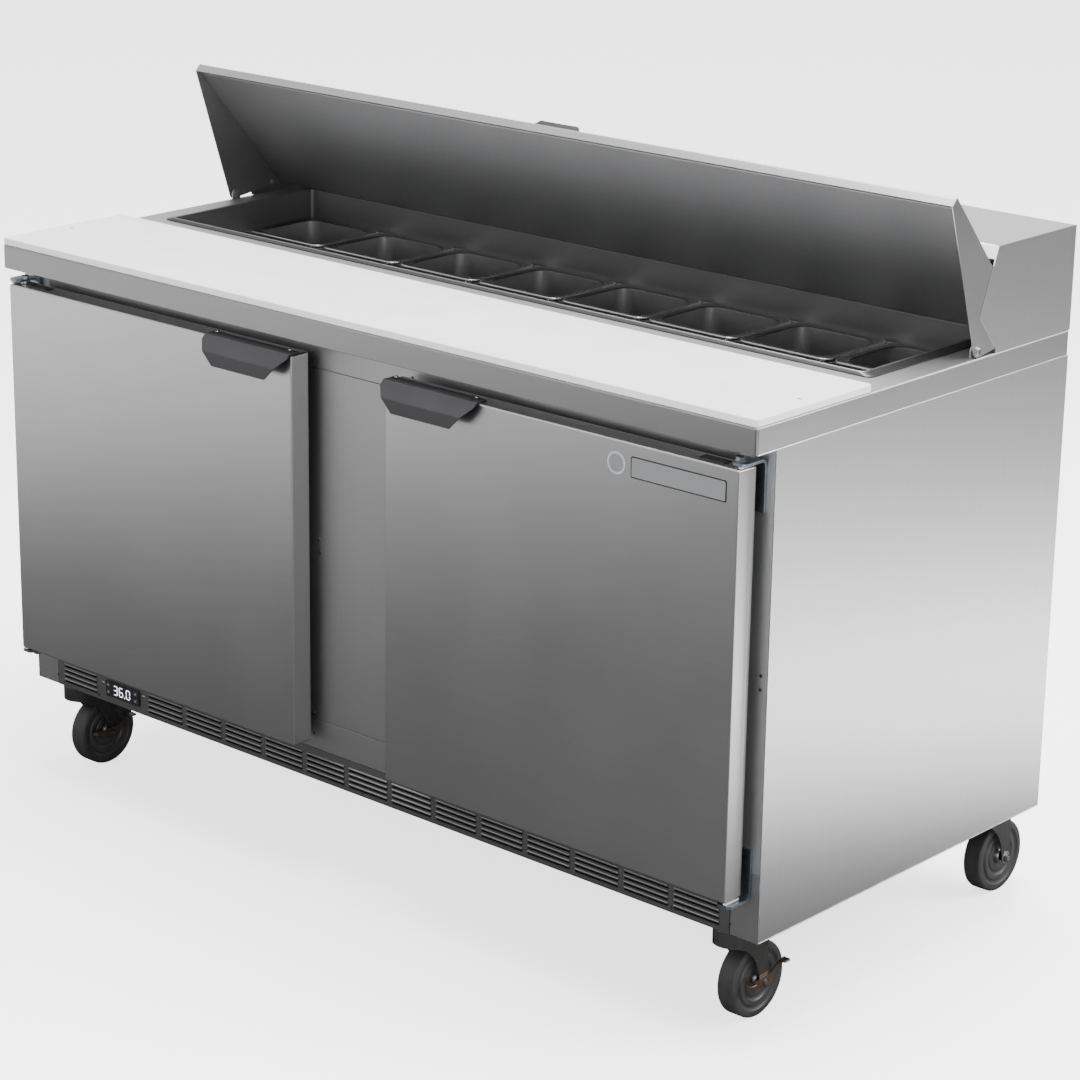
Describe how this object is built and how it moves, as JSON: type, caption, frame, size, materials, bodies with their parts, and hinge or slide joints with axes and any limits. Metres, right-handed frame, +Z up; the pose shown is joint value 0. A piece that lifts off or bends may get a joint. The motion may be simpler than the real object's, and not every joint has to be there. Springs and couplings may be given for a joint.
{
  "type": "sandwich prep table",
  "caption": "Refrigerated sandwich prep table on casters: hinged doors, white cutting board, recessed rail of lift-out pans under an open tilting hood, rear housing.",
  "frame": {"origin": "on the floor, under the centre of the bounding box at rest", "axes": "+X to the operator's right along the counter, +Y from the doors to the back, +Z up"},
  "size_m": [1.527, 0.8116, 1.1391],
  "materials": {
    "brushed_steel": "brushed stainless sheet",
    "rail_steel": "satin stainless, darker in the recess",
    "pan_steel": "satin drawn stainless",
    "liner_steel": "fine grained stainless inner sheet",
    "zinc": "zinc plated, blue grey",
    "black_pull": "black satin coating",
    "fork_steel": "dark satin plated steel",
    "pedal_steel": "brown passivated steel",
    "gasket_rubber": "black soft vinyl",
    "wheel_tread": "dark grey moulded tread",
    "board_white": "white textured polyethylene",
    "control_plastic": "black",
    "shelf_wire": "epoxy coated wire",
    "coil_metal": "finned coil",
    "compressor_can": "black painted can"
  },
  "bodies": {
    "base": {"cabinet_carcass": "brushed_steel", "front_frame": "brushed_steel", "countertop": "brushed_steel", "pan_well": "rail_steel", "pan_divider_grid": "rail_steel", "rear_housing": "brushed_steel", "base_grille": "brushed_steel", "controller": "control_plastic", "shelf_left": "shelf_wire", "shelf_right": "shelf_wire", "evaporator_case": "coil_metal", "compressor": "compressor_can", "condenser": "coil_metal", "hinge_top_left": "zinc", "hinge_bottom_left": "zinc", "hinge_top_right": "zinc", "hinge_bottom_right": "zinc", "caster_rail_left": "zinc", "caster_rail_right": "zinc"},
    "lid": {"lid_shell": "brushed_steel", "lid_liner": "liner_steel", "lid_handle": "black_pull"},
    "left_door": {"left_door": "brushed_steel", "left_door_gasket": "gasket_rubber", "left_door_handle": "black_pull"},
    "right_door": {"right_door": "brushed_steel", "right_door_gasket": "gasket_rubber", "right_door_handle": "black_pull"},
    "cutting_board": {"cutting_board": "board_white"},
    "condenser_fan": {"condenser_fan": "black_pull"},
    "pan_front_1": {"pan_front_1": "pan_steel"},
    "pan_front_2": {"pan_front_2": "pan_steel"},
    "pan_front_3": {"pan_front_3": "pan_steel"},
    "pan_front_4": {"pan_front_4": "pan_steel"},
    "pan_front_5": {"pan_front_5": "pan_steel"},
    "pan_front_6": {"pan_front_6": "pan_steel"},
    "pan_front_7": {"pan_front_7": "pan_steel"},
    "pan_front_8": {"pan_front_8": "pan_steel"},
    "pan_rear_1": {"pan_rear_1": "pan_steel"},
    "pan_rear_2": {"pan_rear_2": "pan_steel"},
    "pan_rear_3": {"pan_rear_3": "pan_steel"},
    "pan_rear_4": {"pan_rear_4": "pan_steel"},
    "pan_rear_5": {"pan_rear_5": "pan_steel"},
    "pan_rear_6": {"pan_rear_6": "pan_steel"},
    "pan_rear_7": {"pan_rear_7": "pan_steel"},
    "pan_rear_8": {"pan_rear_8": "pan_steel"},
    "button_set": {"button_set": "control_plastic"},
    "button_light": {"button_light": "control_plastic"},
    "button_up": {"button_up": "control_plastic"},
    "button_down": {"button_down": "control_plastic"},
    "caster_front_left_fork": {"caster_front_left_fork": "fork_steel"},
    "caster_front_left_wheel": {"caster_front_left_wheel": "wheel_tread"},
    "caster_front_left_brake_pedal": {"caster_front_left_brake_pedal": "pedal_steel"},
    "caster_front_right_fork": {"caster_front_right_fork": "fork_steel"},
    "caster_front_right_wheel": {"caster_front_right_wheel": "wheel_tread"},
    "caster_front_right_brake_pedal": {"caster_front_right_brake_pedal": "pedal_steel"},
    "caster_rear_left_fork": {"caster_rear_left_fork": "fork_steel"},
    "caster_rear_left_wheel": {"caster_rear_left_wheel": "wheel_tread"},
    "caster_rear_right_fork": {"caster_rear_right_fork": "fork_steel"},
    "caster_rear_right_wheel": {"caster_rear_right_wheel": "wheel_tread"}
  },
  "joints": [
    {"name": "lid_hinge", "type": "hinge", "parent": "base", "child": "lid", "pos_m": [0, 0.1257, 0.9093], "axis": [-1, 0, 0], "range_deg": [-71, 0]},
    {"name": "left_door_hinge", "type": "hinge", "parent": "base", "child": "left_door", "pos_m": [-0.726, -0.3623, 0.532], "axis": [0, 0, -1], "range_deg": [0, 105]},
    {"name": "right_door_hinge", "type": "hinge", "parent": "base", "child": "right_door", "pos_m": [0.726, -0.3623, 0.532], "axis": [0, 0, 1], "range_deg": [0, 105]},
    {"name": "cutting_board_lift", "type": "slide", "parent": "base", "child": "cutting_board", "axis": [0, 0, 1], "range_m": [0, 0.05]},
    {"name": "pan_front_1_lift", "type": "slide", "parent": "base", "child": "pan_front_1", "axis": [0, 0, 1], "range_m": [0, 0.164]},
    {"name": "pan_front_2_lift", "type": "slide", "parent": "base", "child": "pan_front_2", "axis": [0, 0, 1], "range_m": [0, 0.164]},
    {"name": "pan_front_3_lift", "type": "slide", "parent": "base", "child": "pan_front_3", "axis": [0, 0, 1], "range_m": [0, 0.164]},
    {"name": "pan_front_4_lift", "type": "slide", "parent": "base", "child": "pan_front_4", "axis": [0, 0, 1], "range_m": [0, 0.164]},
    {"name": "pan_front_5_lift", "type": "slide", "parent": "base", "child": "pan_front_5", "axis": [0, 0, 1], "range_m": [0, 0.164]},
    {"name": "pan_front_6_lift", "type": "slide", "parent": "base", "child": "pan_front_6", "axis": [0, 0, 1], "range_m": [0, 0.164]},
    {"name": "pan_front_7_lift", "type": "slide", "parent": "base", "child": "pan_front_7", "axis": [0, 0, 1], "range_m": [0, 0.164]},
    {"name": "pan_front_8_lift", "type": "slide", "parent": "base", "child": "pan_front_8", "axis": [0, 0, 1], "range_m": [0, 0.164]},
    {"name": "pan_rear_1_lift", "type": "slide", "parent": "base", "child": "pan_rear_1", "axis": [0, 0, 1], "range_m": [0, 0.034]},
    {"name": "pan_rear_2_lift", "type": "slide", "parent": "base", "child": "pan_rear_2", "axis": [0, 0, 1], "range_m": [0, 0.034]},
    {"name": "pan_rear_3_lift", "type": "slide", "parent": "base", "child": "pan_rear_3", "axis": [0, 0, 1], "range_m": [0, 0.034]},
    {"name": "pan_rear_4_lift", "type": "slide", "parent": "base", "child": "pan_rear_4", "axis": [0, 0, 1], "range_m": [0, 0.034]},
    {"name": "pan_rear_5_lift", "type": "slide", "parent": "base", "child": "pan_rear_5", "axis": [0, 0, 1], "range_m": [0, 0.034]},
    {"name": "pan_rear_6_lift", "type": "slide", "parent": "base", "child": "pan_rear_6", "axis": [0, 0, 1], "range_m": [0, 0.034]},
    {"name": "pan_rear_7_lift", "type": "slide", "parent": "base", "child": "pan_rear_7", "axis": [0, 0, 1], "range_m": [0, 0.034]},
    {"name": "pan_rear_8_lift", "type": "slide", "parent": "base", "child": "pan_rear_8", "axis": [0, 0, 1], "range_m": [0, 0.034]},
    {"name": "button_set_press", "type": "slide", "parent": "base", "child": "button_set", "axis": [0, 1, 0], "range_m": [0, 0.0006], "stiffness_N_per_m": 400},
    {"name": "button_light_press", "type": "slide", "parent": "base", "child": "button_light", "axis": [0, 1, 0], "range_m": [0, 0.0006], "stiffness_N_per_m": 400},
    {"name": "button_up_press", "type": "slide", "parent": "base", "child": "button_up", "axis": [0, 1, 0], "range_m": [0, 0.0006], "stiffness_N_per_m": 400},
    {"name": "button_down_press", "type": "slide", "parent": "base", "child": "button_down", "axis": [0, 1, 0], "range_m": [0, 0.0006], "stiffness_N_per_m": 400},
    {"name": "condenser_fan_spin", "type": "hinge", "parent": "base", "child": "condenser_fan", "pos_m": [-0.33, 0.2107, 0.295], "axis": [0, 1, 0], "continuous": true},
    {"name": "caster_front_left_swivel", "type": "hinge", "parent": "base", "child": "caster_front_left_fork", "pos_m": [-0.693, -0.2913, 0.1535], "axis": [0, 0, 1], "continuous": true},
    {"name": "caster_front_left_roll", "type": "hinge", "parent": "caster_front_left_fork", "child": "caster_front_left_wheel", "pos_m": [-0.693, -0.2553, 0.0575], "axis": [1, 0, 0], "continuous": true},
    {"name": "caster_front_left_brake", "type": "hinge", "parent": "caster_front_left_fork", "child": "caster_front_left_brake_pedal", "pos_m": [-0.693, -0.2553, 0.0575], "axis": [1, 0, 0], "range_deg": [0, 12]},
    {"name": "caster_front_right_swivel", "type": "hinge", "parent": "base", "child": "caster_front_right_fork", "pos_m": [0.693, -0.2913, 0.1535], "axis": [0, 0, 1], "continuous": true},
    {"name": "caster_front_right_roll", "type": "hinge", "parent": "caster_front_right_fork", "child": "caster_front_right_wheel", "pos_m": [0.693, -0.2553, 0.0575], "axis": [1, 0, 0], "continuous": true},
    {"name": "caster_front_right_brake", "type": "hinge", "parent": "caster_front_right_fork", "child": "caster_front_right_brake_pedal", "pos_m": [0.693, -0.2553, 0.0575], "axis": [1, 0, 0], "range_deg": [0, 12]},
    {"name": "caster_rear_left_swivel", "type": "hinge", "parent": "base", "child": "caster_rear_left_fork", "pos_m": [-0.693, 0.3123, 0.1535], "axis": [0, 0, 1], "continuous": true},
    {"name": "caster_rear_left_roll", "type": "hinge", "parent": "caster_rear_left_fork", "child": "caster_rear_left_wheel", "pos_m": [-0.693, 0.3483, 0.0575], "axis": [1, 0, 0], "continuous": true},
    {"name": "caster_rear_right_swivel", "type": "hinge", "parent": "base", "child": "caster_rear_right_fork", "pos_m": [0.693, 0.3123, 0.1535], "axis": [0, 0, 1], "continuous": true},
    {"name": "caster_rear_right_roll", "type": "hinge", "parent": "caster_rear_right_fork", "child": "caster_rear_right_wheel", "pos_m": [0.693, 0.3483, 0.0575], "axis": [1, 0, 0], "continuous": true}
  ]
}
